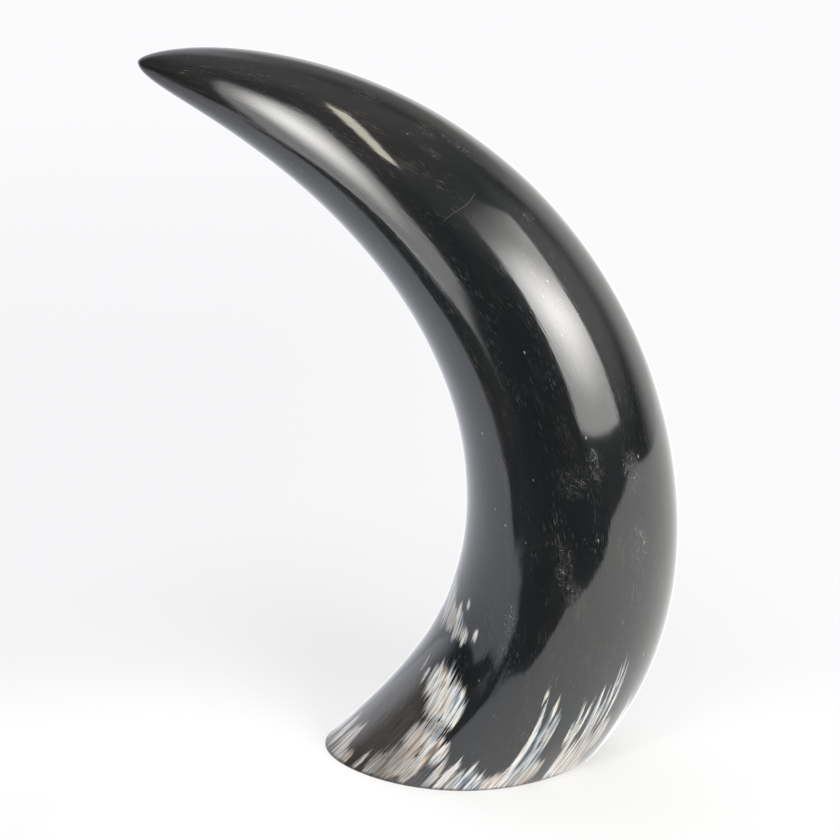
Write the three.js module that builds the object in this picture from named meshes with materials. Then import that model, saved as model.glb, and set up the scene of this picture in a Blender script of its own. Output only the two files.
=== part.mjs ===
// Polished water-buffalo horn, sawn off flat at the base and standing on the cut.
// Units are millimetres and +Z is up. The origin is on the floor under the middle of the horn,
// and the tip points towards -X.
import * as THREE from 'three';

// The horn bends in the XZ plane. Two smooth rails bound it in that plane: the short inner side
// and the long outer side. Each is a Bezier curve through a control polygon of [x, z] corners.
// Both begin below the floor, where the saw cut removes them, and meet at the tip.
const INNER_RAIL = [
  [-41.9, -4.9],
  [55.2, 77.1],
  [-20.2, 89.1],
  [60.9, 104.4],
  [7.2, 225.8],
  [-91.8, 239.6],
  [-94.0, 256.6],
];
const OUTER_RAIL = [
  [9.0, -49.9],
  [131.8, 23.0],
  [90.0, 93.1],
  [112.1, 159.0],
  [58.8, 288.7],
  [-95.0, 266.7],
  [-94.0, 256.6],
];

const TIP_SWEEP = 8.0; // how far the tip leans out of the plane of the bend
const BASE_DEPTH = 0.84; // thickness front to back over thickness in the plane, at the base
const TIP_DEPTH = 0.9; // the same ratio at the tip
const BASE_EGG = -0.097; // how much narrower the outer side of the base section is
const BASE_FLAT = -0.081; // how much fuller the front and back of the base section are

const EDGE_HEIGHT = 0.8; // softened corner all round the saw cut
const EDGE_INSET = 0.7;

const RIM_WALL = 6.0; // thickness of the wall at the cut
const CAVITY_END = 0.47; // where the hollow ends, as a part of the way to the tip
const CAVITY_TAPER = 1.5; // how early the hollow starts to narrow

const AROUND = 44; // facets round the horn
const OUTER_ROWS = 62; // rows from the cut to the tip
const CAVITY_ROWS = 20; // rows from the cut to the end of the hollow
const ROW_CROWDING = 1.25; // above 1, the rows draw closer together near the tip

// Binomial weights for a control polygon with n + 1 corners.
function binomials(n) {
  const row = [1];
  for (let i = 0; i < n; i += 1) {
    row.push((row[i] * (n - i)) / (i + 1));
  }
  return row;
}

const WEIGHTS = binomials(INNER_RAIL.length - 1);

// Point at t (0 at the start, 1 at the tip) on a rail.
function railPoint(rail, t) {
  const n = rail.length - 1;
  const point = new THREE.Vector2();
  rail.forEach(([x, z], i) => {
    const weight = WEIGHTS[i] * t ** i * (1 - t) ** (n - i);
    point.x += weight * x;
    point.y += weight * z;
  });
  return point;
}

// The cross-section at t: its centre, its direction in the plane and its two half-thicknesses.
function sectionAt(t) {
  const inner = railPoint(INNER_RAIL, t);
  const outer = railPoint(OUTER_RAIL, t);
  const chord = outer.clone().sub(inner);
  const half = chord.length() / 2;
  const direction = half > 1e-9 ? chord.normalize() : new THREE.Vector2(0, 1);
  return {
    centre: inner.add(outer).multiplyScalar(0.5),
    direction,
    half,
    depth: half * THREE.MathUtils.lerp(BASE_DEPTH, TIP_DEPTH, t),
  };
}

// Point on a section at angle phi, with the section drawn at a scale in each direction.
function sectionPoint(t, phi, inPlane, acrossPlane) {
  const { centre, direction } = sectionAt(t);
  const fade = (1 - t) ** 2;
  const shape = 1 + fade * (BASE_EGG * Math.cos(phi) + BASE_FLAT * Math.cos(2 * phi));
  const along = inPlane * Math.cos(phi);
  const across = acrossPlane * Math.sin(phi) * shape;
  return new THREE.Vector3(
    centre.x + direction.x * along,
    across + TIP_SWEEP * t ** 2,
    centre.y + direction.y * along,
  );
}

// Point on the outside of the horn.
function outsidePoint(t, phi) {
  const { half, depth } = sectionAt(t);
  return sectionPoint(t, phi, half, depth);
}

// Point on the wall of the hollow, which closes in a rounded end.
function cavityPoint(t, phi) {
  const { half, depth } = sectionAt(t);
  const reach = Math.min(t / CAVITY_END, 1);
  const room = Math.sqrt(1 - reach ** CAVITY_TAPER);
  return sectionPoint(t, phi, (half - RIM_WALL) * room, (depth - RIM_WALL) * room);
}

// The t at which one line along a surface rises through the given height.
function heightCrossing(pointAt, phi, height, last) {
  let low = 0;
  let high = last;
  for (let step = 0; step < 48; step += 1) {
    const middle = (low + high) / 2;
    if (pointAt(middle, phi).z < height) {
      low = middle;
    } else {
      high = middle;
    }
  }
  return high;
}

// One closed row of points round the horn.
function ring(pointOf) {
  const points = [];
  for (let i = 0; i < AROUND; i += 1) {
    points.push(pointOf((2 * Math.PI * i) / AROUND, i));
  }
  return points;
}

// Rows of the outside, from the softened corner above the cut to the last ring before the tip.
function outsideRings() {
  const starts = ring((phi) => heightCrossing(outsidePoint, phi, EDGE_HEIGHT, 0.5));
  const rings = [];
  for (let row = 0; row < OUTER_ROWS; row += 1) {
    const way = 1 - (1 - row / OUTER_ROWS) ** ROW_CROWDING;
    rings.push(ring((phi, i) => outsidePoint(THREE.MathUtils.lerp(starts[i], 1, way), phi)));
  }
  return rings;
}

// Rows of the hollow, from the cut to the last ring before its end.
function cavityRings() {
  const last = CAVITY_END * 0.8;
  const starts = ring((phi) => heightCrossing(cavityPoint, phi, 0, last));
  const rings = [];
  for (let row = 0; row < CAVITY_ROWS; row += 1) {
    const way = Math.sin((Math.PI / 2) * (row / CAVITY_ROWS));
    rings.push(ring((phi, i) => cavityPoint(THREE.MathUtils.lerp(starts[i], CAVITY_END, way), phi)));
  }
  return rings;
}

// The outer edge of the flat cut, set in a little from the full width of the horn.
function footRing(hollowEdge) {
  return ring((phi, i) => {
    const edge = outsidePoint(heightCrossing(outsidePoint, phi, 0, 0.5), phi);
    const inward = hollowEdge[i].clone().sub(edge).setLength(EDGE_INSET);
    const foot = edge.add(inward);
    foot.z = 0;
    return foot;
  });
}

// Joins rows of points, from the end of the hollow out round the rim to the tip, into one skin.
function closedSkin(rings, firstPole, lastPole) {
  const positions = [];
  const indices = [];
  const add = (point) => positions.push(point.x, point.y, point.z);
  add(firstPole);
  rings.forEach((points) => points.forEach(add));
  add(lastPole);
  const at = (row, i) => 1 + row * AROUND + (i % AROUND);
  const lastIndex = 1 + rings.length * AROUND;
  for (let i = 0; i < AROUND; i += 1) {
    indices.push(0, at(0, i + 1), at(0, i));
    for (let row = 0; row < rings.length - 1; row += 1) {
      indices.push(at(row, i), at(row + 1, i + 1), at(row + 1, i));
      indices.push(at(row, i), at(row, i + 1), at(row + 1, i + 1));
    }
    indices.push(at(rings.length - 1, i), at(rings.length - 1, i + 1), lastIndex);
  }
  const geometry = new THREE.BufferGeometry();
  geometry.setAttribute('position', new THREE.Float32BufferAttribute(positions, 3));
  geometry.setIndex(indices);
  return geometry;
}

// The whole horn as one body, centred over the origin with its cut on the floor.
function hornGeometry() {
  const hollow = cavityRings();
  hollow[0].forEach((point) => point.setZ(0));
  const foot = footRing(hollow[0]);
  const rings = [...hollow.slice().reverse(), foot, ...outsideRings()];
  const hollowEnd = cavityPoint(CAVITY_END, 0);
  const tip = outsidePoint(1, 0);
  const geometry = closedSkin(rings, hollowEnd, tip);
  geometry.computeBoundingBox();
  const middle = geometry.boundingBox.getCenter(new THREE.Vector3());
  geometry.translate(-middle.x, -middle.y, 0);
  geometry.computeVertexNormals();
  return geometry;
}

const hornMaterial = new THREE.MeshStandardMaterial({
  color: 0x17181a,
  roughness: 0.18,
  metalness: 0,
});

const horn = new THREE.Mesh(hornGeometry(), hornMaterial);
horn.name = 'horn';

const buffaloHorn = new THREE.Group();
buffaloHorn.add(horn);

export default buffaloHorn;
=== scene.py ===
"""A polished water-buffalo horn, sawn flat at the root and standing on the cut.

The horn is one natural piece. Its skin is drawn between two smooth rails in the plane of the bend,
then gets the shallow waves of hand scraping, the pale streaks of the root and a worn polish.
Lengths are metres, +Z is up, the tip points to -X and the front is -Y.
"""

import enum
import logging
import math
from dataclasses import dataclass, field
from typing import Callable

import bpy
import numpy as np
from mathutils import Matrix, Vector


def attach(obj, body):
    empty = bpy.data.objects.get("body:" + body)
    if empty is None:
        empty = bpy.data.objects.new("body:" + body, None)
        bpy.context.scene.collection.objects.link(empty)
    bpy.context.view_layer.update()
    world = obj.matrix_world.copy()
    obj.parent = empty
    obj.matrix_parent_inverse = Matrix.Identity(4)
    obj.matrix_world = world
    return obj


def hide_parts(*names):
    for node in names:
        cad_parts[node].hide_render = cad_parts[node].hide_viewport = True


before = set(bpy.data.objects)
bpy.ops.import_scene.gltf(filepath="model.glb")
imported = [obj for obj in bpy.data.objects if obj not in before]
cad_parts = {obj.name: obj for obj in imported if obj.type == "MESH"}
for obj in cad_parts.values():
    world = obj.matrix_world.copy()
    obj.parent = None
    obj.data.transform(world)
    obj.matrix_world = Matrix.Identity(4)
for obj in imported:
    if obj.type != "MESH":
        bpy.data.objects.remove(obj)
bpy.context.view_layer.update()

LOG = logging.getLogger("horn")
MM = 0.001
GRAIN_RADIUS = 0.036
ROOT_TWIST = 170.0  # degrees that the grain winds in each metre at the root
STRAIGHT_FROM = 0.130  # how far along the horn the grain has straightened
STRAIGHT_EASE = 0.012

Colour = tuple[float, float, float, float]


class Zone(enum.IntEnum):
    """The three kinds of surface on the horn, as numbered in the mesh's zone attribute."""

    POLISHED = 0
    SAWN = 1
    HOLLOW = 2


# The texture map: the margin at its sides, and the heights between which each zone lies.
MAP_EDGE = 0.004
MAP_BANDS = {Zone.HOLLOW: (0.005, 0.165), Zone.SAWN: (0.175, 0.205), Zone.POLISHED: (0.215, 0.995)}


# ------------------------------------------------------------------------------------------------
# Node helpers
# ------------------------------------------------------------------------------------------------


class NodeBench:
    """Adds and wires nodes in one node tree."""

    def __init__(self, tree: bpy.types.NodeTree) -> None:
        """Args:
            tree: The tree that the nodes go into.
        """
        self.tree = tree

    def add(self, kind: str, **settings: object) -> bpy.types.Node:
        """Adds a node.

        Args:
            kind: The node's Blender type name.
            settings: Properties to set on the node.

        Returns:
            The new node.
        """
        node = self.tree.nodes.new(kind)
        for name, value in settings.items():
            setattr(node, name, value)
        return node

    def feed(self, socket: bpy.types.NodeSocket, value: object) -> None:
        """Links a socket into an input, or sets the input's own value.

        Args:
            socket: The input.
            value: An output socket, a number, or a sequence of numbers.
        """
        if isinstance(value, bpy.types.NodeSocket):
            self.tree.links.new(value, socket)
        else:
            socket.default_value = value

    def math(self, operation: str, *values: object) -> bpy.types.NodeSocket:
        """Adds a Math node.

        Args:
            operation: The Math node's operation.
            values: Its inputs, in order.

        Returns:
            The node's output.
        """
        node = self.add("ShaderNodeMath", operation=operation)
        for socket, value in zip(node.inputs, values):
            self.feed(socket, value)
        return node.outputs[0]

    def vector(self, operation: str, *values: object, output: str = "Vector") -> bpy.types.NodeSocket:
        """Adds a Vector Math node.

        Args:
            operation: The node's operation.
            values: Its vector inputs, in order.
            output: Value for an operation that gives a number, such as a length.

        Returns:
            The node's output.
        """
        node = self.add("ShaderNodeVectorMath", operation=operation)
        for socket, value in zip(node.inputs, values):
            self.feed(socket, value)
        return node.outputs[output]

    def split(self, vector: bpy.types.NodeSocket) -> tuple[bpy.types.NodeSocket, ...]:
        """Takes a vector apart.

        Args:
            vector: The vector.

        Returns:
            Its X, Y and Z.
        """
        node = self.add("ShaderNodeSeparateXYZ")
        self.feed(node.inputs[0], vector)
        return tuple(node.outputs)

    def join(self, *parts: object) -> bpy.types.NodeSocket:
        """Puts a vector together.

        Args:
            parts: Its X, Y and Z.

        Returns:
            The vector.
        """
        node = self.add("ShaderNodeCombineXYZ")
        for socket, value in zip(node.inputs, parts):
            self.feed(socket, value)
        return node.outputs[0]

    def remap(
        self,
        value: bpy.types.NodeSocket,
        low: float,
        high: float,
        to_low: float = 0.0,
        to_high: float = 1.0,
        smooth: bool = True,
    ) -> bpy.types.NodeSocket:
        """Maps a range of values to another range.

        Args:
            value: The value to map.
            low: The value that gives to_low.
            high: The value that gives to_high.
            to_low: The result at low.
            to_high: The result at high.
            smooth: Whether the step eases in and out.

        Returns:
            The mapped value, held inside its range.
        """
        kind = "SMOOTHSTEP" if smooth else "LINEAR"
        node = self.add("ShaderNodeMapRange", interpolation_type=kind, clamp=True)
        names = ("Value", "From Min", "From Max", "To Min", "To Max")
        for name, number in zip(names, (value, low, high, to_low, to_high)):
            self.feed(node.inputs[name], number)
        return node.outputs["Result"]

    def noise(
        self,
        coordinates: bpy.types.NodeSocket,
        scale: float,
        stretch: tuple[float, float, float] = (1.0, 1.0, 1.0),
        detail: float = 2.0,
        roughness: float = 0.5,
        seed: float = 0.0,
    ) -> bpy.types.NodeSocket:
        """Adds noise, drawn out along an axis if wanted.

        Args:
            coordinates: Where the noise is read.
            scale: Cells per metre.
            stretch: Factor on each axis before the noise; a small one draws it out.
            detail: Octaves.
            roughness: Weight of the finer octaves.
            seed: Shifts the pattern.

        Returns:
            The noise value, about 0 to 1.
        """
        drawn = self.vector("MULTIPLY", coordinates, stretch)
        node = self.add("ShaderNodeTexNoise", noise_dimensions="4D")
        self.feed(node.inputs["Vector"], drawn)
        self.feed(node.inputs["W"], seed)
        self.feed(node.inputs["Scale"], scale)
        self.feed(node.inputs["Detail"], detail)
        self.feed(node.inputs["Roughness"], roughness)
        return node.outputs[0]

    def mix(self, factor: object, first: object, second: object) -> bpy.types.NodeSocket:
        """Mixes two colours.

        Args:
            factor: 0 gives the first colour, 1 the second.
            first: A colour or an output socket.
            second: A colour or an output socket.

        Returns:
            The mixed colour.
        """
        node = self.add("ShaderNodeMix", data_type="RGBA")
        self.feed(node.inputs[0], factor)
        self.feed(node.inputs[6], first)
        self.feed(node.inputs[7], second)
        return node.outputs[2]

    def ramp(self, value: bpy.types.NodeSocket,
             stops: tuple[tuple[float, Colour], ...]) -> bpy.types.NodeSocket:
        """Adds a colour ramp.

        Args:
            value: The value that picks the colour.
            stops: Positions and colours, in order.

        Returns:
            The colour.
        """
        node = self.add("ShaderNodeValToRGB")
        ramp = node.color_ramp
        while len(ramp.elements) < len(stops):
            ramp.elements.new(1.0)
        for element, (position, colour) in zip(ramp.elements, stops):
            element.position = position
            element.color = colour
        self.feed(node.inputs[0], value)
        return node.outputs[0]

    def bump(self, height: bpy.types.NodeSocket, distance: float,
             under: bpy.types.NodeSocket | None = None) -> bpy.types.NodeSocket:
        """Adds a Bump node.

        Args:
            height: The height field, about 0 to 1.
            distance: The real height of a step of 1, in metres.
            under: The normal it is laid over.

        Returns:
            The bumped normal.
        """
        node = self.add("ShaderNodeBump")
        node.inputs["Strength"].default_value = 1.0
        node.inputs["Distance"].default_value = distance
        self.feed(node.inputs["Height"], height)
        if under is not None:
            self.feed(node.inputs["Normal"], under)
        return node.outputs[0]


def grey(value: float) -> Colour:
    """Returns a linear grey of the given brightness."""
    return (value, value, value, 1.0)


# ------------------------------------------------------------------------------------------------
# Shape
# ------------------------------------------------------------------------------------------------


@dataclass(frozen=True)
class Rail:
    """A smooth edge of the horn in the plane of the bend, as a Bezier control polygon in mm."""

    corners: tuple[tuple[float, float], ...]

    def point(self, t: np.ndarray) -> np.ndarray:
        """Points on the rail.

        Args:
            t: Places along it, 0 at the start and 1 at the tip.

        Returns:
            Their [x, z], in metres, with one more axis than t.
        """
        n = len(self.corners) - 1
        total = np.zeros(t.shape + (2,))
        for i, corner in enumerate(self.corners):
            weight = math.comb(n, i) * t**i * (1 - t) ** (n - i)
            total += weight[..., None] * np.array(corner) * MM
        return total


@dataclass(frozen=True)
class HornShape:
    """The horn's form: two rails, and a rounded section between them at every place."""

    inner: Rail = Rail((
        (-41.9, -4.9), (55.2, 77.1), (-20.2, 89.1), (60.9, 104.4),
        (7.2, 225.8), (-91.8, 239.6), (-94.0, 256.6),
    ))
    outer: Rail = Rail((
        (9.0, -49.9), (131.8, 23.0), (90.0, 93.1), (112.1, 159.0),
        (58.8, 288.7), (-95.0, 266.7), (-94.0, 256.6),
    ))
    tip_sweep: float = 8.0 * MM
    base_depth: float = 0.84
    tip_depth: float = 0.9
    base_egg: float = -0.097
    base_flat: float = -0.081
    edge_height: float = 0.8 * MM
    edge_inset: float = 0.7 * MM
    rim_wall: float = 6.0 * MM
    cavity_end: float = 0.47
    cavity_taper: float = 1.5

    def surface(self, t: np.ndarray, phi: np.ndarray, trim: float, scale: np.ndarray) -> np.ndarray:
        """Points on a rounded section.

        Args:
            t: Places along the horn.
            phi: Angles round it; 0 is the outer side of the bend and 270 degrees the front.
            trim: How much is taken off each half-thickness, in metres.
            scale: A further factor on each half-thickness.

        Returns:
            Points in metres, before the horn is centred.
        """
        inside = self.inner.point(t)
        outside = self.outer.point(t)
        chord = outside - inside
        half = np.linalg.norm(chord, axis=-1) / 2
        direction = chord / np.maximum(2 * half, 1e-12)[..., None]
        depth = half * (self.base_depth + (self.tip_depth - self.base_depth) * t)
        fade = (1 - t) ** 2
        form = 1 + fade * (self.base_egg * np.cos(phi) + self.base_flat * np.cos(2 * phi))
        along = (half - trim) * scale * np.cos(phi)
        across = (depth - trim) * scale * np.sin(phi) * form
        centre = (inside + outside) / 2
        return np.stack([
            centre[..., 0] + direction[..., 0] * along,
            across + self.tip_sweep * t**2,
            centre[..., 1] + direction[..., 1] * along,
        ], axis=-1)

    def outside_at(self, t: np.ndarray, phi: np.ndarray) -> np.ndarray:
        """Points on the outside of the horn."""
        return self.surface(t, phi, 0.0, np.ones_like(t))

    def hollow_at(self, t: np.ndarray, phi: np.ndarray) -> np.ndarray:
        """Points on the wall of the hollow, which closes in a rounded end."""
        reach = np.clip(t / self.cavity_end, 0, 1)
        return self.surface(t, phi, self.rim_wall, np.sqrt(1 - reach**self.cavity_taper))

    def crossing(self, surface: Callable, phi: np.ndarray, height: float, last: float) -> np.ndarray:
        """The place where each line along a surface rises through a height.

        Args:
            surface: outside_at or hollow_at.
            phi: The lines, by angle.
            height: The height, in metres.
            last: The furthest place that is tried.

        Returns:
            The places, one for each line.
        """
        low = np.zeros_like(phi)
        high = np.full_like(phi, last)
        for _ in range(48):
            middle = (low + high) / 2
            under = surface(middle, phi)[..., 2] < height
            low = np.where(under, middle, low)
            high = np.where(under, high, middle)
        return high

    def length_to(self, t: np.ndarray) -> np.ndarray:
        """Length along the centre line from its start to each place.

        Args:
            t: The places.

        Returns:
            The lengths, in metres.
        """
        steps = np.linspace(0, 1, 800)
        middle = (self.inner.point(steps) + self.outer.point(steps)) / 2
        lengths = np.concatenate([[0], np.cumsum(np.linalg.norm(np.diff(middle, axis=0), axis=1))])
        return np.interp(t, steps, lengths)


@dataclass(frozen=True)
class Patch:
    """A mark on the horn: an oval drawn out along the grain.

    Angles are degrees round the horn from its front, positive towards the outer side of the bend,
    and follow the grain. Places along it are millimetres of the centre line. Lean is in degrees for
    each millimetre, and milk is how solid the mark is.
    """

    angle: float
    along: float
    half_angle: float
    half_along: float
    lean: float = 0.0
    milk: float = 1.0

    def field(self, angle: np.ndarray, along: np.ndarray) -> np.ndarray:
        """How deep inside the oval each point is.

        Args:
            angle: Angles of the points, in degrees from the front.
            along: Their places along the centre line, in mm.

        Returns:
            1 in the middle, 0 at the edge and -1 far outside.
        """
        further = along - self.along
        across = (angle - self.angle - self.lean * further + 180) % 360 - 180
        distance = np.sqrt((across / self.half_angle) ** 2 + (further / self.half_along) ** 2)
        return np.clip(1 - distance, -1, 1)


PALE_STREAKS = (
    # The blotch high on the inner side, with its loose flecks.
    Patch(-85, 102, 6, 12, 0, 0.5), Patch(-76, 98, 6, 7, 0, 0.5), Patch(-67, 98, 5, 7.5, 0, 0.6),
    Patch(-61.5, 96, 3, 5, 0, 0.85), Patch(-71, 103, 1.6, 6, 0, 0.9), Patch(-64, 110, 1.6, 3.5, 0, 0.8),
    Patch(-53.3, 100, 1.3, 3.5, 0, 0.9),
    # Two lone threads.
    Patch(-81.5, 69, 1.1, 5, 0, 0.6), Patch(-75.5, 68, 1.4, 5, 0, 0.7),
    # The broad comb below them.
    Patch(-66, 70, 5, 9), Patch(-60, 69, 6, 12), Patch(-54, 67, 6, 12), Patch(-48, 67, 4, 10),
    Patch(-44, 66, 2, 7), Patch(-50, 55, 5, 5, 0, 0.4),
    # The fall of streaks from there to the rim.
    Patch(-57, 45, 5, 8, 0, 0.75), Patch(-50, 47, 6, 9, 0, 0.85), Patch(-44, 46, 5, 9, 0, 0.9),
    Patch(-39, 49, 3, 6, 0, 0.9), Patch(-47, 37, 7, 8, 0, 0.65), Patch(-55, 34, 8, 8, 0, 0.45),
    Patch(-60, 26, 8, 6, 0, 0.4),
    # The inner corner of the root.
    Patch(-93, 20, 5, 10, 0, 0.85), Patch(-87, 14, 4, 7, 0, 0.75), Patch(-81, 16, 2.2, 5, 0, 0.9),
    Patch(-72, 20, 1.8, 6, 0, 0.9), Patch(-65, 22, 2, 6, 0, 0.7),
    # Short streaks along the front of the rim.
    Patch(-34, 40, 2.6, 9, 0, 0.7), Patch(-28.5, 44, 2.2, 10, 0, 0.85), Patch(-24, 43, 2.0, 8, 0, 0.6),
    Patch(-20.5, 46, 2.0, 9, 0, 0.85), Patch(-15, 45, 2.8, 8, 0, 0.75), Patch(-10, 46, 2.4, 8, 0, 0.7),
    Patch(-6, 49, 2.8, 9, 0, 0.8),
    # Two fingers, which join lower down.
    Patch(-6.4, 92, 0.9, 4, 0, 0.8), Patch(-4.6, 82, 1.1, 13, -0.11, 0.75),
    Patch(-2.7, 65, 1.9, 14, -0.08, 0.8), Patch(0.6, 87, 1.7, 6, 0, 0.8), Patch(0, 77, 1.1, 10, 0, 0.7),
    Patch(2.8, 80, 1.6, 9, 0, 0.45), Patch(4.9, 77, 1.0, 10, 0, 0.8), Patch(2.6, 67, 3.6, 8, 0, 0.6),
    Patch(7, 61, 4.5, 7, 0, 0.55), Patch(0, 56, 4.5, 8, 0, 0.75),
    # The comb on the outer side.
    Patch(14.7, 80, 0.9, 8, -0.2, 0.8), Patch(17, 82, 1.1, 12, -0.12, 0.75),
    Patch(19.4, 70, 1.9, 13, -0.12, 0.8), Patch(19.8, 89, 0.9, 9, 0, 0.8),
    Patch(24.5, 88, 1.7, 12, -0.08, 0.85), Patch(31.1, 94, 1.3, 11, 0, 0.7),
    Patch(32.6, 104, 0.8, 8, 0, 0.7), Patch(35, 95, 1.0, 14, 0.06, 0.7), Patch(28, 88, 1.0, 9, 0, 0.6),
    Patch(23, 68, 4, 9, 0, 0.9), Patch(30, 73, 4.5, 11, 0, 0.6), Patch(37, 79, 5, 9, 0, 0.45),
    Patch(33, 66, 9, 6, 0, 0.6),
    # Round the back.
    Patch(52, 86, 1.6, 12, 0, 0.7), Patch(58, 82, 4, 9, 0, 0.6), Patch(66, 92, 1.4, 14),
    Patch(71, 94, 2, 13), Patch(76, 90, 2, 10, 0, 0.8), Patch(84, 80, 7, 8, 0, 0.7),
    Patch(96, 84, 1.5, 15), Patch(101, 80, 2.4, 13), Patch(108, 72, 6, 8, 0, 0.8),
    Patch(122, 74, 1.6, 17), Patch(128, 70, 2, 14), Patch(136, 58, 7, 8, 0, 0.7), Patch(150, 56, 1.6, 16),
    Patch(156, 52, 3, 11), Patch(166, 46, 6, 8, 0, 0.8), Patch(176, 52, 1.4, 14),
    Patch(-176, 40, 5, 8, 0, 0.7), Patch(-164, 40, 2, 13), Patch(-156, 34, 5, 8),
    Patch(-146, 36, 1.5, 14), Patch(-138, 26, 7, 8, 0, 0.7), Patch(-124, 24, 2, 10),
    Patch(-116, 20, 5, 8, 0, 0.8), Patch(-104, 20, 3, 9), Patch(-112, 92, 4, 7, 0, 0.7),
    Patch(-124, 96, 1.6, 5), Patch(-98, 100, 4, 8, 0, 0.6),
)

WARM_CLOUDS = (
    Patch(-74, 38, 26, 34), Patch(-96, 24, 24, 26), Patch(-52, 30, 22, 16), Patch(30, 70, 20, 10),
    Patch(8, 56, 10, 7), Patch(-78, 98, 12, 8), Patch(120, 66, 40, 26), Patch(-150, 34, 40, 24),
)

SCUFFS = (
    Patch(56, 296, 7, 5), Patch(41, 291, 4, 4), Patch(60, 284, 4, 9), Patch(59, 317, 5, 6),
    Patch(52, 256, 7, 3), Patch(87, 246, 4, 20), Patch(14, 178, 5, 7), Patch(1, 174, 9, 6),
    Patch(34, 172, 6, 8), Patch(-8, 143, 6, 10), Patch(-3, 134, 5, 5), Patch(-35, 115, 5, 10),
    Patch(-35, 104, 3, 5), Patch(34, 148, 7, 10), Patch(110, 190, 9, 12), Patch(150, 150, 10, 12),
    Patch(-140, 200, 8, 14), Patch(180, 260, 8, 12), Patch(120, 320, 9, 9), Patch(-100, 240, 6, 16),
)


def deepest(patches: tuple[Patch, ...], angle: np.ndarray, along: np.ndarray) -> tuple:
    """How deep inside the nearest of several marks each point is.

    Args:
        patches: The marks.
        angle: Angles of the points, in degrees from the front, following the grain.
        along: Their places along the centre line, in mm.

    Returns:
        The largest of the marks' fields at each point, and how solid the marks are there.
    """
    fields = np.array([patch.field(angle, along) for patch in patches])
    weights = np.exp(fields * 5)
    milk = (weights * np.array([patch.milk for patch in patches])[:, None]).sum(0) / weights.sum(0)
    return fields.max(0), milk


def grain_angle(angle: np.ndarray, along: np.ndarray) -> np.ndarray:
    """Turns plain angles into angles that follow the grain, which winds a little at the root.

    Args:
        angle: Angles round the horn, in degrees from the front.
        along: Places along the centre line, in metres.

    Returns:
        The angles of the fibres there, in degrees.
    """
    short_of_straight = (STRAIGHT_FROM - along) / STRAIGHT_EASE
    return angle - ROOT_TWIST * STRAIGHT_EASE * np.log1p(np.exp(short_of_straight))


# ------------------------------------------------------------------------------------------------
# Shader groups
# ------------------------------------------------------------------------------------------------


@dataclass(frozen=True)
class ShaderGroup:
    """A node group that is made once and placed in several materials.

    Each kind of group is a subclass that names its sockets and wires the inside.
    """

    name: str = "Shader group"
    numbers: tuple[str, ...] = ()
    masks: tuple[str, ...] = ()
    colours: tuple[str, ...] = ()

    def wire(self, bench: NodeBench, source: bpy.types.Node, target: bpy.types.Node) -> None:
        """Wires the inside of the group.

        Args:
            bench: The group's bench.
            source: The node that hands out the group's inputs.
            target: The node that takes its outputs.
        """
        raise NotImplementedError

    def tree(self) -> bpy.types.NodeTree:
        """Makes the group's node tree on first use.

        Returns:
            The tree.
        """
        made = bpy.data.node_groups.get(self.name)
        if made:
            return made
        tree = bpy.data.node_groups.new(self.name, "ShaderNodeTree")
        tree.interface.new_socket("Grain", in_out="INPUT", socket_type="NodeSocketVector")
        for name in self.numbers:
            tree.interface.new_socket(name, in_out="INPUT", socket_type="NodeSocketFloat")
        for name in self.masks:
            tree.interface.new_socket(name, in_out="OUTPUT", socket_type="NodeSocketFloat")
        for name in self.colours:
            tree.interface.new_socket(name, in_out="OUTPUT", socket_type="NodeSocketColor")
        bench = NodeBench(tree)
        self.wire(bench, bench.add("NodeGroupInput"), bench.add("NodeGroupOutput"))
        return tree

    def place(self, bench: NodeBench, grain: bpy.types.NodeSocket, *values: object) -> bpy.types.Node:
        """Puts the group in a material.

        Args:
            bench: The material's bench.
            grain: The grain coordinates.
            values: What the group's numbers are fed with, in order.

        Returns:
            The group node.
        """
        node = bench.add("ShaderNodeGroup", node_tree=self.tree())
        bench.feed(node.inputs["Grain"], grain)
        for name, value in zip(self.numbers, values):
            bench.feed(node.inputs[name], value)
        return node


@dataclass(frozen=True)
class FibreGroup(ShaderGroup):
    """The grain of horn: fine parallel fibres that run from root to tip.

    Fine is single fibres, Broad is bundles of them and Comb is the uneven reach of the bundles.
    Draw is a factor along the grain; a small one makes long fibres.
    """

    name: str = "Horn fibres"
    numbers: tuple[str, ...] = ("Draw",)
    masks: tuple[str, ...] = ("Fine", "Broad", "Comb")
    fibres_per_metre: float = 3000.0
    bundles_per_metre: float = 1150.0
    combs_per_metre: float = 1265.0

    def wire(self, bench: NodeBench, source: bpy.types.Node, target: bpy.types.Node) -> None:
        """Wires three noises that are drawn out along the grain.

        Args:
            bench: The group's bench.
            source: The node that hands out the group's inputs.
            target: The node that takes its outputs.
        """
        drawn = bench.join(1.0, 1.0, source.outputs["Draw"])
        grain = bench.vector("MULTIPLY", source.outputs["Grain"], drawn)
        fine = bench.noise(grain, self.fibres_per_metre, detail=1.0, seed=3.1)
        broad = bench.noise(grain, self.bundles_per_metre, (1, 1, 1.4), 2.0, 0.6, 7.7)
        comb = bench.noise(grain, self.combs_per_metre, (1, 1, 0.8), 3.0, 0.65, 12.4)
        bench.feed(target.inputs["Fine"], bench.remap(fine, 0.28, 0.72, smooth=False))
        bench.feed(target.inputs["Broad"], bench.remap(broad, 0.28, 0.72, smooth=False))
        bench.feed(target.inputs["Comb"], bench.remap(comb, 0.25, 0.75, smooth=False))


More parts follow.
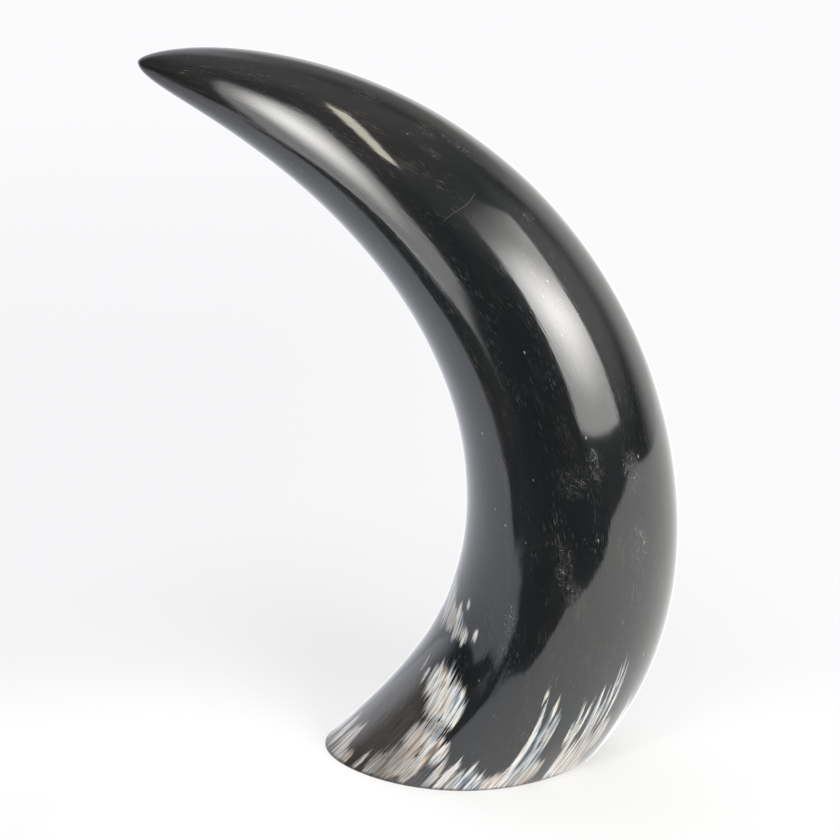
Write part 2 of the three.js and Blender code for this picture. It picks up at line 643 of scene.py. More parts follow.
@dataclass(frozen=True)
class WearGroup(ShaderGroup):
    """Handling marks: short hairlines along the grain, slanting ones, and a scatter of tiny pits.

    Slants covers the whole surface and is kept to the scuffed places by the material.
    """

    name: str = "Handling marks"
    masks: tuple[str, ...] = ("Lines", "Slants", "Pits")
    lines_per_metre: float = 3200.0
    slants_per_metre: float = 3000.0
    slope: float = 0.9
    pits_per_metre: float = 240.0

    def wire(self, bench: NodeBench, source: bpy.types.Node, target: bpy.types.Node) -> None:
        """Wires the noises of the two kinds of line and the cells of the pits.

        Args:
            bench: The group's bench.
            source: The node that hands out the group's inputs.
            target: The node that takes its outputs.
        """
        grain = source.outputs["Grain"]
        across, depth, along = bench.split(grain)
        swirl = bench.noise(grain, 260, detail=0.0, seed=23.0)
        turned = bench.math("ADD", across, bench.math("MULTIPLY_ADD", swirl, 0.016, -0.008))
        leaning = bench.join(turned, depth, bench.math("MULTIPLY_ADD", across, self.slope, along))
        straight = bench.noise(grain, self.lines_per_metre, (1, 1, 0.11), detail=0.0, seed=21.0)
        slanted = bench.noise(leaning, self.slants_per_metre, (1, 1, 0.17), detail=0.0, seed=24.0)
        where = bench.noise(grain, 110, (1, 1, 0.5), detail=2.0, seed=22.0)
        lines = bench.math("MULTIPLY", bench.remap(straight, 0.62, 0.78), bench.remap(where, 0.42, 0.7))
        bench.feed(target.inputs["Lines"], lines)
        bench.feed(target.inputs["Slants"], bench.remap(slanted, 0.67, 0.8))
        cells = bench.add("ShaderNodeTexVoronoi", feature="F1")
        bench.feed(cells.inputs["Vector"], bench.vector("MULTIPLY", grain, (1, 1, 0.5)))
        bench.feed(cells.inputs["Scale"], self.pits_per_metre)
        spot = bench.remap(cells.outputs["Distance"], 0.06, 0.1, 1.0, 0.0)
        rare = bench.remap(bench.noise(grain, 240, detail=0.0, seed=31.0), 0.6, 0.64)
        bench.feed(target.inputs["Pits"], bench.math("MULTIPLY", spot, rare))


@dataclass(frozen=True)
class PaleGroup(ShaderGroup):
    """The milky parts of the horn: comb-edged streaks in white, blue grey and tan.

    Depth is how deep inside a streak each point is, Milk how solid the streak is and Warmth how
    tan it is. The last three numbers are the masks of the fibre group.
    """

    name: str = "Pale streaks"
    numbers: tuple[str, ...] = ("Depth", "Milk", "Warmth", "Fine", "Broad", "Comb")
    masks: tuple[str, ...] = ("Mask",)
    colours: tuple[str, ...] = ("Color",)
    tones: tuple[tuple[float, Colour], ...] = (
        (0.0, (0.09, 0.12, 0.15, 1)),
        (0.22, (0.24, 0.28, 0.32, 1)),
        (0.42, (0.55, 0.56, 0.55, 1)),
        (0.62, (0.60, 0.57, 0.52, 1)),
        (0.80, (0.38, 0.32, 0.26, 1)),
        (1.0, (0.14, 0.105, 0.08, 1)),
    )
    tan: Colour = (0.34, 0.27, 0.21, 1)

    def wire(self, bench: NodeBench, source: bpy.types.Node, target: bpy.types.Node) -> None:
        """Wires the mask from the marks and the fibres, and the colour from two noises.

        Args:
            bench: The group's bench.
            source: The node that hands out the group's inputs.
            target: The node that takes its outputs.
        """
        depth, milk, warmth, fine, broad, comb = (source.outputs[name] for name in self.numbers)
        grain = source.outputs["Grain"]
        edge = bench.math("ADD", depth, bench.math("MULTIPLY_ADD", comb, 1.35, -0.66))
        body = bench.math("MULTIPLY", bench.remap(edge, -0.12, 0.36), milk)
        threads = bench.remap(broad, 0.0, 0.6, 0.5, 1.0)
        hairs = bench.remap(fine, 0.0, 0.8, 0.62, 1.0)
        mask = bench.math("MULTIPLY", body, bench.math("MULTIPLY", threads, hairs))
        bench.feed(target.inputs["Mask"], mask)
        hue = bench.noise(grain, 950, (1, 1, 0.035), detail=2.0, roughness=0.6, seed=41.0)
        cloud = bench.noise(grain, 150, (1, 1, 0.5), detail=2.0, seed=42.0)
        hue = bench.math("ADD", hue, bench.math("MULTIPLY_ADD", cloud, 0.5, -0.25))
        colour = bench.ramp(bench.remap(hue, 0.31, 0.70, smooth=False), self.tones)
        bench.feed(target.inputs["Color"], bench.mix(bench.math("MULTIPLY", warmth, 0.4), colour, self.tan))


# ------------------------------------------------------------------------------------------------
# Finishes
# ------------------------------------------------------------------------------------------------


@dataclass(frozen=True)
class Finish:
    """A material of the horn. Each kind of surface has its own subclass."""

    name: str = "Finish"
    ior: float = 1.54
    fibres: FibreGroup = FibreGroup()
    wear: WearGroup = WearGroup()
    pale: PaleGroup = PaleGroup()

    def start(self) -> tuple[bpy.types.Material, NodeBench, bpy.types.Node]:
        """Makes the material.

        Returns:
            The material, its bench and its Principled node.
        """
        material = bpy.data.materials.new(self.name)
        material.use_nodes = True
        shader = material.node_tree.nodes["Principled BSDF"]
        shader.inputs["IOR"].default_value = self.ior
        return material, NodeBench(material.node_tree), shader

    @staticmethod
    def read(bench: NodeBench, attribute: str, output: str = "Fac") -> bpy.types.NodeSocket:
        """Reads one of the mesh's attributes.

        Args:
            bench: The material's bench.
            attribute: The attribute's name.
            output: Vector for the grain and Fac for the numbers.

        Returns:
            The attribute's value.
        """
        return bench.add("ShaderNodeAttribute", attribute_name=attribute).outputs[output]

    def streaks(self, bench: NodeBench, grain: bpy.types.NodeSocket, warmth: bpy.types.NodeSocket,
                fibres: bpy.types.Node) -> bpy.types.Node:
        """Places the group of pale streaks.

        Args:
            bench: The material's bench.
            grain: The grain coordinates.
            warmth: How tan the streaks are, 0 to 1.
            fibres: The material's fibre group.

        Returns:
            The group node.
        """
        depth, milk = self.read(bench, "pale"), self.read(bench, "milk")
        threads = (fibres.outputs[name] for name in self.fibres.masks)
        return self.pale.place(bench, grain, depth, milk, warmth, *threads)


@dataclass(frozen=True)
class PolishedHorn(Finish):
    """Black horn, scraped and polished by hand, with pale streaks near the root."""

    name: str = "Polished horn"
    roughness: float = 0.055
    haze: float = 0.08
    haze_roughness: float = 0.34
    fibre_draw: float = 0.035
    brown_reach: tuple[float, float] = (0.24, 0.37)  # where along the horn the black turns brown
    blue_black: Colour = (0.0028, 0.0045, 0.0053, 1)
    brown_black: Colour = (0.0092, 0.0078, 0.0070, 1)
    thread: Colour = (0.012, 0.012, 0.012, 1)
    felt: Colour = (0.040, 0.036, 0.032, 1)
    grime: Colour = (0.015, 0.016, 0.016, 1)
    warm_streak: Colour = (0.046, 0.039, 0.033, 1)
    rubbed: Colour = (0.046, 0.045, 0.043, 1)
    bared: Colour = (0.23, 0.22, 0.20, 1)
    # Painted shadow: darker along the bottom edge, where the horn stands on the table.
    painted_contact_shadow: Colour = (0.018, 0.014, 0.011, 1)
    contact_shadow_heights: tuple[float, float] = (0.0006, 0.0016)  # heights between which the painted contact shadow fades
    bundle_ridge: float = 0.000008
    fibre_ridge: float = 0.000002
    dimple: float = 0.000006
    mark_depth: float = 0.00001
    scratch_along: float = 0.2735
    scratch_half: tuple[float, float] = (0.00003, 0.00015)
    scratch_angles: tuple[float, float] = (6.0, 38.0)

    def make(self) -> bpy.types.Material:
        """Mixes the black, the streaks and the wear, and lays a thin haze over the gloss.

        Returns:
            The material.
        """
        material, bench, shader = self.start()
        grain = self.read(bench, "grain", "Vector")
        cloud = self.read(bench, "warm")
        fibres = self.fibres.place(bench, grain, self.fibre_draw)
        warmth = bench.remap(bench.math("MULTIPLY_ADD", fibres.outputs["Comb"], 0.6, cloud), 0.1, 1.0)
        pale = self.streaks(bench, grain, warmth, fibres)
        speckle = bench.noise(grain, 900, (1, 1, 0.35), detail=3.0, roughness=0.7, seed=52.0)
        scuffed, haze, marked = self.worn(bench, grain, speckle)

        black = self.black(bench, grain, fibres, speckle)
        streaked = bench.math("MULTIPLY", warmth, bench.remap(fibres.outputs["Fine"], 0.0, 1.0, 0.3, 1.0))
        black = bench.mix(streaked, black, self.warm_streak)
        black = bench.mix(bench.math("MULTIPLY", haze, 0.2), black, self.rubbed)
        black = bench.mix(bench.math("MULTIPLY", marked, 0.75), black, self.bared)
        colour = bench.mix(pale.outputs["Mask"], black, pale.outputs["Color"])
        height = bench.split(bench.add("ShaderNodeTexCoord").outputs["Object"])[2]
        # Painted contact shadow: the colour darkens along the bottom edge of the horn.
        colour = bench.mix(bench.remap(height, *self.contact_shadow_heights, 0.75, 0.0), colour, self.painted_contact_shadow)
        bench.feed(shader.inputs["Base Color"], colour)

        smear = bench.noise(grain, 45, (1, 1, 0.5), detail=3.0, seed=71.0)
        rough = bench.math("ADD", self.roughness, bench.remap(smear, 0.35, 0.7, 0.0, 0.03))
        for mask, more in ((scuffed, 0.3), (haze, 0.12), (pale.outputs["Mask"], 0.12)):
            rough = bench.math("MULTIPLY_ADD", mask, more, rough)
        bench.feed(shader.inputs["Roughness"], rough)

        low = bench.bump(fibres.outputs["Broad"], self.bundle_ridge)
        fine = bench.bump(fibres.outputs["Fine"], self.fibre_ridge, low)
        dimpled = bench.bump(speckle, self.dimple, fine)
        cut = bench.bump(bench.math("SUBTRACT", 1.0, marked), self.mark_depth, dimpled)
        bench.feed(shader.inputs["Normal"], cut)
        bench.feed(shader.inputs["Coat Normal"], cut)
        shader.inputs["Coat Weight"].default_value = self.haze
        shader.inputs["Coat Roughness"].default_value = self.haze_roughness
        shader.inputs["Coat IOR"].default_value = self.ior
        return material

    def black(self, bench: NodeBench, grain: bpy.types.NodeSocket, fibres: bpy.types.Node,
              speckle: bpy.types.NodeSocket) -> bpy.types.NodeSocket:
        """The black ground, blue black at the root and browner towards the tip.

        Args:
            bench: The material's bench.
            grain: The grain coordinates.
            fibres: The material's fibre group.
            speckle: A fine noise.

        Returns:
            Its colour.
        """
        along = bench.split(grain)[2]
        mottle = bench.noise(grain, 60, (1, 1, 0.35), detail=3.0, seed=51.0)
        mottle = bench.remap(mottle, 0.45, 0.65, 0.0, 0.4)
        brown = bench.math("MULTIPLY_ADD", bench.remap(along, *self.brown_reach), 0.6, mottle)
        black = bench.mix(brown, self.blue_black, self.brown_black)
        black = bench.mix(bench.math("MULTIPLY", fibres.outputs["Broad"], 0.3), black, self.thread)
        felt = bench.noise(grain, 240, (1, 1, 0.22), detail=4.0, roughness=0.7, seed=53.0)
        felted = bench.math("MULTIPLY", bench.remap(felt, 0.5, 0.72), bench.remap(speckle, 0.35, 0.7))
        felted = bench.math("MULTIPLY", felted, bench.math("MULTIPLY_ADD", brown, 0.9, 0.25))
        black = bench.mix(felted, black, self.felt)
        grimy = bench.math("MULTIPLY", bench.remap(speckle, 0.45, 0.75), 0.3)
        return bench.mix(grimy, black, self.grime)

    def worn(self, bench: NodeBench, grain: bpy.types.NodeSocket, speckle: bpy.types.NodeSocket) -> tuple:
        """The wear of handling.

        Args:
            bench: The material's bench.
            grain: The grain coordinates.
            speckle: A fine noise.

        Returns:
            The masks of the scuffed lines, of the haze round them and of all marks together.
        """
        marks = self.wear.place(bench, grain)
        worn = bench.remap(self.read(bench, "scuff"), -0.2, 0.6)
        scuffed = bench.math("MULTIPLY", bench.math("MULTIPLY", worn, marks.outputs["Slants"]), 0.9)
        haze = bench.math("MULTIPLY", worn, bench.remap(speckle, 0.35, 0.65))
        lines = bench.math("MULTIPLY", marks.outputs["Lines"], 0.22)
        pits = bench.math("MULTIPLY", marks.outputs["Pits"], 0.7)
        marked = bench.math("MAXIMUM", bench.math("MAXIMUM", lines, scuffed), pits)
        return scuffed, haze, bench.math("MAXIMUM", marked, self.scratch(bench, grain))

    def scratch(self, bench: NodeBench, grain: bpy.types.NodeSocket) -> bpy.types.NodeSocket:
        """One long, shallow scratch across the grain of the front.

        Args:
            bench: The material's bench.
            grain: The grain coordinates.

        Returns:
            Its mask.
        """
        across, depth, along = bench.split(grain)
        angle = bench.math("DEGREES", bench.math("ARCTAN2", across, depth))
        sway = bench.math("MULTIPLY", bench.math("SINE", bench.math("MULTIPLY", angle, 0.16)), 0.0009)
        course = bench.math("ADD", sway, self.scratch_along)
        off = bench.math("ABSOLUTE", bench.math("SUBTRACT", along, course))
        line = bench.remap(off, *self.scratch_half, 0.23, 0.0)
        first, last = self.scratch_angles
        line = bench.math("MULTIPLY", line, bench.remap(angle, first, first + 4.0))
        return bench.math("MULTIPLY", line, bench.remap(angle, last - 3.0, last, 1.0, 0.0))


@dataclass(frozen=True)
class SawnHorn(Finish):
    """The flat cut at the root: matt, with saw lines and the pale layers showing in section."""

    name: str = "Sawn horn"
    fibre_draw: float = 0.6
    dark: Colour = (0.030, 0.028, 0.026, 1)
    light: Colour = (0.085, 0.075, 0.065, 1)
    sawdust: Colour = (0.20, 0.18, 0.15, 1)
    saw_depth: float = 0.00008

    def make(self) -> bpy.types.Material:
        """Mixes the layers of the horn and the saw lines.

        Returns:
            The material.
        """
        material, bench, shader = self.start()
        place = bench.add("ShaderNodeTexCoord").outputs["Object"]
        grain = self.read(bench, "grain", "Vector")
        fibres = self.fibres.place(bench, grain, self.fibre_draw)
        pale = self.streaks(bench, grain, fibres.outputs["Broad"], fibres)
        saw = bench.noise(place, 900, (0.05, 1, 1), detail=2.0, seed=81.0)
        cloud = bench.noise(place, 160, detail=4.0, seed=82.0)
        base = bench.mix(bench.remap(cloud, 0.35, 0.65), self.dark, self.light)
        base = bench.mix(bench.math("MULTIPLY", saw, 0.25), base, self.sawdust)
        colour = bench.mix(bench.math("MULTIPLY", pale.outputs["Mask"], 0.8), base, pale.outputs["Color"])
        bench.feed(shader.inputs["Base Color"], colour)
        bench.feed(shader.inputs["Roughness"], bench.remap(saw, 0.3, 0.7, 0.5, 0.7))
        bench.feed(shader.inputs["Normal"], bench.bump(saw, self.saw_depth))
        return material


@dataclass(frozen=True)
class HollowHorn(Finish):
    """The unpolished wall of the hollow: brown grey, ridged along the grain and dusty."""

    name: str = "Hollow of the root"
    ior: float = 1.5
    fibre_draw: float = 0.08
    dark: Colour = (0.045, 0.038, 0.031, 1)
    light: Colour = (0.16, 0.135, 0.105, 1)
    dusty: Colour = (0.25, 0.21, 0.17, 1)
    ridge: float = 0.0003

    def make(self) -> bpy.types.Material:
        """Mixes the brown grey of the wall and its ridges.

        Returns:
            The material.
        """
        material, bench, shader = self.start()
        grain = self.read(bench, "grain", "Vector")
        fibres = self.fibres.place(bench, grain, self.fibre_draw)
        cloud = bench.noise(grain, 90, (1, 1, 0.5), detail=4.0, seed=91.0)
        base = bench.mix(bench.remap(cloud, 0.35, 0.65), self.dark, self.light)
        colour = bench.mix(bench.math("MULTIPLY", fibres.outputs["Broad"], 0.4), base, self.dusty)
        bench.feed(shader.inputs["Base Color"], colour)
        bench.feed(shader.inputs["Roughness"], bench.remap(cloud, 0.3, 0.7, 0.6, 0.85))
        bench.feed(shader.inputs["Normal"], bench.bump(fibres.outputs["Broad"], self.ridge))
        return material


# ------------------------------------------------------------------------------------------------
# The horn
# ------------------------------------------------------------------------------------------------


@dataclass(frozen=True)
class ReliefTree:
    """Geometry nodes that wave the polished skin, roughen the hollow and hand out the finishes."""

    name: str = "Scraped relief"
    wave_height: float = 0.5 * MM
    wave_size: float = 32.0
    flute_height: float = 0.12 * MM
    flute_size: float = 75.0
    root_height: float = 1.2 * MM
    seed: int = 17

    def tree(self) -> bpy.types.NodeTree:
        """Makes the node tree.

        Returns:
            The tree, with a named input for each size and each finish.
        """
        tree = bpy.data.node_groups.new(self.name, "GeometryNodeTree")
        face = tree.interface
        face.new_socket("Skin", in_out="INPUT", socket_type="NodeSocketGeometry")
        for name in ("Wave height", "Wave size", "Flute height", "Flute size", "Root height"):
            face.new_socket(name, in_out="INPUT", socket_type="NodeSocketFloat")
        face.new_socket("Seed", in_out="INPUT", socket_type="NodeSocketInt")
        for zone in Zone:
            face.new_socket(f"{zone.name.title()} finish", in_out="INPUT", socket_type="NodeSocketMaterial")
        face.new_socket("Skin", in_out="OUTPUT", socket_type="NodeSocketGeometry")
        bench = NodeBench(tree)
        source = bench.add("NodeGroupInput")
        grain = self.named(bench, "grain", "FLOAT_VECTOR")
        relief = self.named(bench, "relief", "FLOAT")
        root = self.named(bench, "root", "FLOAT")
        seed = source.outputs["Seed"]
        wave = bench.noise(grain, source.outputs["Wave size"], (1, 1, 0.7), 1.0, 0.4, seed)
        flute = bench.noise(grain, source.outputs["Flute size"], (1, 1, 0.16), 1.0, 0.4, seed)
        ridge = bench.noise(grain, 260.0, (1, 1, 0.12), 3.0, 0.6, seed)
        heights = (source.outputs[f"{name} height"] for name in ("Wave", "Flute", "Root"))
        wave, flute, ridge = (
            bench.math("MULTIPLY", bench.math("SUBTRACT", noise, 0.5), height)
            for noise, height in zip((wave, flute, ridge), heights)
        )
        skin = bench.math("MULTIPLY", bench.math("ADD", wave, flute), relief)
        height = bench.math("MULTIPLY_ADD", ridge, root, skin)
        normal = bench.add("GeometryNodeInputNormal").outputs[0]
        push = bench.add("ShaderNodeVectorMath", operation="SCALE")
        bench.feed(push.inputs[0], normal)
        bench.feed(push.inputs["Scale"], height)
        move = bench.add("GeometryNodeSetPosition")
        bench.feed(move.inputs["Geometry"], source.outputs["Skin"])
        bench.feed(move.inputs["Offset"], push.outputs[0])
        real = bench.add("GeometryNodeRealizeInstances")
        bench.feed(real.inputs[0], move.outputs[0])
        flow = real.outputs[0]
        number = self.named(bench, "zone", "INT")
        for zone in Zone:
            same = bench.add("FunctionNodeCompare", data_type="INT", operation="EQUAL")
            bench.feed(same.inputs[2], number)
            same.inputs[3].default_value = int(zone)
            paint = bench.add("GeometryNodeSetMaterial")
            bench.feed(paint.inputs["Geometry"], flow)
            bench.feed(paint.inputs["Selection"], same.outputs[0])
            bench.feed(paint.inputs["Material"], source.outputs[f"{zone.name.title()} finish"])
            flow = paint.outputs[0]
        bench.feed(bench.add("NodeGroupOutput").inputs[0], flow)
        return tree

    @staticmethod
    def named(bench: NodeBench, name: str, kind: str) -> bpy.types.NodeSocket:
        """Reads a named attribute of the skin.

        Args:
            bench: The tree's bench.
            name: The attribute's name.
            kind: Its data type.

        Returns:
            The attribute's value.
        """
        node = bench.add("GeometryNodeInputNamedAttribute", data_type=kind)
        node.inputs["Name"].default_value = name
        return next(s for s in node.outputs if s.enabled and s.name == "Attribute")

    def apply(self, piece: bpy.types.Object, finishes: dict[Zone, bpy.types.Material]) -> None:
        """Runs the tree on a piece and keeps the result as a plain mesh.

        Args:
            piece: The horn's skin.
            finishes: The material of each kind of surface.
        """
        tree = self.tree()
        modifier = piece.modifiers.new(self.name, "NODES")
        modifier.node_group = tree
        values: dict[str, object] = {
            "Wave height": self.wave_height,
            "Wave size": self.wave_size,
            "Flute height": self.flute_height,
            "Flute size": self.flute_size,
            "Root height": self.root_height,
            "Seed": self.seed,
        }
        values.update({f"{zone.name.title()} finish": made for zone, made in finishes.items()})
        for item in tree.interface.items_tree:
            if item.in_out == "INPUT" and item.name in values:
                modifier[item.identifier] = values[item.name]
        graph = bpy.context.evaluated_depsgraph_get()
        result = bpy.data.meshes.new_from_object(
            piece.evaluated_get(graph), preserve_all_data_layers=True, depsgraph=graph
        )
        piece.modifiers.clear()
        old = piece.data
        piece.data = result
        result.name = piece.name
        bpy.data.meshes.remove(old)


@dataclass
class Horn:
    """The whole horn: one closed skin from the end of the hollow, round the rim, to the tip."""

    shape: HornShape = field(default_factory=HornShape)
    relief: ReliefTree = field(default_factory=ReliefTree)
    around: int = 384
    outer_rows: int = 210
    row_crowding: float = 1.15
    edge_rows: int = 3
    rim_rows: int = 4
    hollow_rows: int = 34
    skin_calm: float = 2 * MM  # height up to which the outside has no relief
    skin_ease: float = 12 * MM  # how far above that it comes in
    tip_ease: float = 30 * MM  # how far from the tip it dies away
    tip_relief: float = 0.15  # what is left of it at the tip
    hollow_calm: float = 1 * MM
    hollow_ease: float = 8 * MM
    centre: Vector = field(default_factory=Vector)

    def rings(self) -> tuple[np.ndarray, np.ndarray, list[Zone]]:
        """The rows of points, from the hollow's end to the tip.

        Returns:
            Points (rows, around, 3), places along the horn (rows, around), and the zone of the
            strip that follows each row.
        """
        shape = self.shape
        phi = math.pi / 2 + 2 * math.pi * np.arange(self.around) / self.around
        mouth = shape.crossing(shape.hollow_at, phi, 0.0, shape.cavity_end * 0.8)
        points: list[np.ndarray] = []
        places: list[np.ndarray] = []
        zones: list[Zone] = []

        def lay(row: np.ndarray, place: np.ndarray, zone: Zone) -> None:
            """Adds a row.

            Args:
                row: Its points.
                place: Their places along the horn.
                zone: The zone of the strip that follows it.
            """
            points.append(row)
            places.append(place)
            zones.append(zone)

        for row in range(self.hollow_rows - 1, -1, -1):
            way = math.sin(math.pi / 2 * row / self.hollow_rows)
            place = mouth + (shape.cavity_end - mouth) * way
            wall = shape.hollow_at(place, phi)
            if row == 0:
                wall[:, 2] = 0.0
            lay(wall, place, Zone.SAWN if row == 0 else Zone.HOLLOW)
        inner_edge = points[-1]

        cut = shape.crossing(shape.outside_at, phi, 0.0, 0.5)
        start = shape.crossing(shape.outside_at, phi, shape.edge_height, 0.5)
        corner = shape.outside_at(cut, phi)
        inward = inner_edge - corner
        inward /= np.linalg.norm(inward, axis=1)[:, None]
        foot = corner + inward * shape.edge_inset
        foot[:, 2] = 0.0
        for row in range(1, self.rim_rows):
            way = row / self.rim_rows
            lay(inner_edge + (foot - inner_edge) * way, mouth + (cut - mouth) * way, Zone.SAWN)
        shoulder = shape.outside_at(start, phi)
        for row in range(self.edge_rows):
            way = row / self.edge_rows
            bend = (1 - way) ** 2 * foot + 2 * way * (1 - way) * corner + way**2 * shoulder
            lay(bend, cut + (start - cut) * way, Zone.POLISHED)
        for row in range(self.outer_rows):
            way = 1 - (1 - row / self.outer_rows) ** self.row_crowding
            place = start + (1 - start) * way
            lay(shape.outside_at(place, phi), place, Zone.POLISHED)
        return np.array(points), np.array(places), zones

    def build(self) -> bpy.types.Object:
        """Builds the skin with its coordinates and masks.

        Returns:
            The object, before its relief and finishes.
        """
        points, places, zones = self.rings()
        rows, around = places.shape
        phi = math.pi / 2 + 2 * math.pi * np.arange(around) / around
        ends = (
            self.shape.hollow_at(np.array(self.shape.cavity_end), np.array(0.0)),
            self.shape.outside_at(np.array(1.0), np.array(0.0)),
        )
        vertices = np.concatenate([ends[0][None], points.reshape(-1, 3), ends[1][None]])
        middle = (points.reshape(-1, 3).min(0) + points.reshape(-1, 3).max(0)) / 2
        self.centre = Vector((-float(middle[0]), -float(middle[1]), 0.0))
        vertices += np.array(self.centre)

        faces, uvs, numbers = self.weave(rows, around, points, zones)
        mesh = bpy.data.meshes.new("horn_skin")
        mesh.from_pydata(vertices.tolist(), [], faces)
        mesh.update()
        layer = mesh.uv_layers.new(name="OFBake")
        layer.data.foreach_set("uv", np.array(uvs, dtype=np.float32).ravel())
        mesh.attributes.new("zone", "INT", "FACE").data.foreach_set("value", numbers)
        mesh.polygons.foreach_set("use_smooth", [True] * len(mesh.polygons))

        angle = np.concatenate([[0], np.tile(np.degrees(phi) - 270, rows), [0]])
        along = self.shape.length_to(places).ravel()
        last = self.shape.length_to(np.array([self.shape.cavity_end, 1.0]))
        along = np.concatenate([[last[0]], along, [last[1]]])
        angle = grain_angle(angle, along)
        radians = np.radians(angle)
        grain = np.stack([np.sin(radians) * GRAIN_RADIUS, np.cos(radians) * GRAIN_RADIUS, along], axis=1)
        grain[[0, -1], :2] = 0.0
        depth, milk = deepest(PALE_STREAKS, angle, along / MM)
        self.store(mesh, "grain", grain)
        self.store(mesh, "pale", depth)
        self.store(mesh, "milk", milk)
        self.store(mesh, "warm", deepest(WARM_CLOUDS, angle, along / MM)[0])
        self.store(mesh, "scuff", deepest(SCUFFS, angle, along / MM)[0])

        first_outer = 1 + around * (rows - self.outer_rows)
        height = vertices[:, 2]
        relief = np.clip((height - self.skin_calm) / self.skin_ease, 0, 1)
        relief *= np.clip((last[1] - along) / self.tip_ease, self.tip_relief, 1)
        relief[:first_outer] = 0.0
        root = np.clip((height - self.hollow_calm) / self.hollow_ease, 0, 1)
        root[1 + around * self.hollow_rows:] = 0.0
        root[0] = 0.0
        self.store(mesh, "relief", relief)
        self.store(mesh, "root", root)
        piece = bpy.data.objects.new("polished_horn", mesh)
        bpy.context.scene.collection.objects.link(piece)
        return piece

    @staticmethod
    def store(mesh: bpy.types.Mesh, name: str, values: np.ndarray) -> None:
        """Stores numbers or vectors on the points of a mesh.

        Args:
            mesh: The mesh.
            name: The attribute's name.
            values: One number or one vector for each point.
        """
        kind, key = ("FLOAT_VECTOR", "vector") if values.ndim == 2 else ("FLOAT", "value")
        data = mesh.attributes.new(name, kind, "POINT").data
        data.foreach_set(key, values.astype(np.float32).ravel())

    def weave(self, rows: int, around: int, points: np.ndarray, zones: list[Zone]) -> tuple:
        """Joins the rows into faces and lays each zone flat in the texture map.

        Args:
            rows: How many rows of points there are.
            around: Points in a row.
            points: The rows of points.
            zones: The zone of the strip that follows each row.

        Returns:
            The faces, a map place for each face corner, and a zone number for each face.
        """
        gaps = np.linalg.norm(np.diff(points, axis=0), axis=2).mean(axis=1)
        heights: dict[Zone, dict[int, float]] = {}
        for zone, (low, high) in MAP_BANDS.items():
            strips = [row for row in range(rows - 1) if zones[row] == zone]
            if zone == Zone.HOLLOW:
                strips = [-1, *strips]
            if zone == Zone.POLISHED:
                strips = [*strips, rows - 1]
            steps = [float(gaps[min(max(row, 0), rows - 2)]) for row in strips]
            total = sum(steps)
            reached = 0.0
            heights[zone] = {}
            for row, step in zip(strips, steps):
                heights[zone][row] = low + (high - low) * reached / total
                reached += step
                heights[zone][row + 1] = low + (high - low) * reached / total
        faces: list[list[int]] = []
        uvs: list[tuple[float, float]] = []
        numbers: list[int] = []

        def at(row: int, i: int) -> int:
            """Returns the number of a point in a row."""
            return 1 + row * around + i % around

        across = [MAP_EDGE + (1 - 2 * MAP_EDGE) * i / around for i in range(around + 1)]
        last = 1 + rows * around
        for i in range(around):
            low, high = heights[Zone.HOLLOW][-1], heights[Zone.HOLLOW][0]
            faces.append([0, at(0, i + 1), at(0, i)])
            uvs += [((across[i] + across[i + 1]) / 2, low), (across[i + 1], high), (across[i], high)]
            numbers.append(int(Zone.HOLLOW))
        for row in range(rows - 1):
            level = heights[zones[row]]
            low, high = level[row], level[row + 1]
            for i in range(around):
                faces.append([at(row, i), at(row, i + 1), at(row + 1, i + 1), at(row + 1, i)])
                uvs += [(across[i], low), (across[i + 1], low), (across[i + 1], high), (across[i], high)]
                numbers.append(int(zones[row]))
        for i in range(around):
            level = heights[Zone.POLISHED]
            faces.append([at(rows - 1, i), at(rows - 1, i + 1), last])
            low, high = level[rows - 1], level[rows]
            uvs += [(across[i], low), (across[i + 1], low), ((across[i] + across[i + 1]) / 2, high)]
            numbers.append(int(Zone.POLISHED))
        return faces, uvs, numbers

    def make(self) -> bpy.types.Object:
        """Returns:
            The finished piece.
        """
        piece = self.build()
        finishes = {
            Zone.POLISHED: PolishedHorn().make(),
            Zone.SAWN: SawnHorn().make(),
            Zone.HOLLOW: HollowHorn().make(),
        }
        self.relief.apply(piece, finishes)
        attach(piece, "root")
        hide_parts("horn")
        return piece


# ------------------------------------------------------------------------------------------------
# The studio
# ------------------------------------------------------------------------------------------------


@dataclass(frozen=True)
class Facing:
    """A flat thing held up in front of the horn and turned towards it.

    Directions are degrees seen from the horn. Shift is how far its middle lies to the right of and
    above the line to the horn, and roll turns it in its own plane.
    """

    azimuth: float
    elevation: float
    distance: float
    size: tuple[float, float]
    shift: tuple[float, float] = (0.0, 0.0)
    roll: float = 0.0
    aim: tuple[float, float, float] = (0.02, 0.0, 0.17)

    def stance(self) -> Matrix:
        """Works out where the thing is held.

        Returns:
            The matrix that takes its own plane there.
        """
        turn = math.radians(self.azimuth)
        rise = math.radians(self.elevation)
        away = Vector((math.sin(turn) * math.cos(rise), -math.cos(turn) * math.cos(rise), math.sin(rise)))
        side = Vector((math.cos(turn), math.sin(turn), 0.0))
        upward = away.cross(side)
        middle = Vector(self.aim) + away * self.distance + side * self.shift[0] + upward * self.shift[1]
        turned = Matrix((side, upward, away)).transposed().to_4x4()
        return Matrix.Translation(middle) @ turned @ Matrix.Rotation(math.radians(self.roll), 4, "Z")


@dataclass(frozen=True)
class Flag:
    """A shade in front of one side of a lamp's cloth.

    Way is the direction in which the cloth darkens, in degrees. The cloth is fully lit up to start
    and dark beyond end, both in metres from its middle.
    """

    way: float
    start: float
    end: float


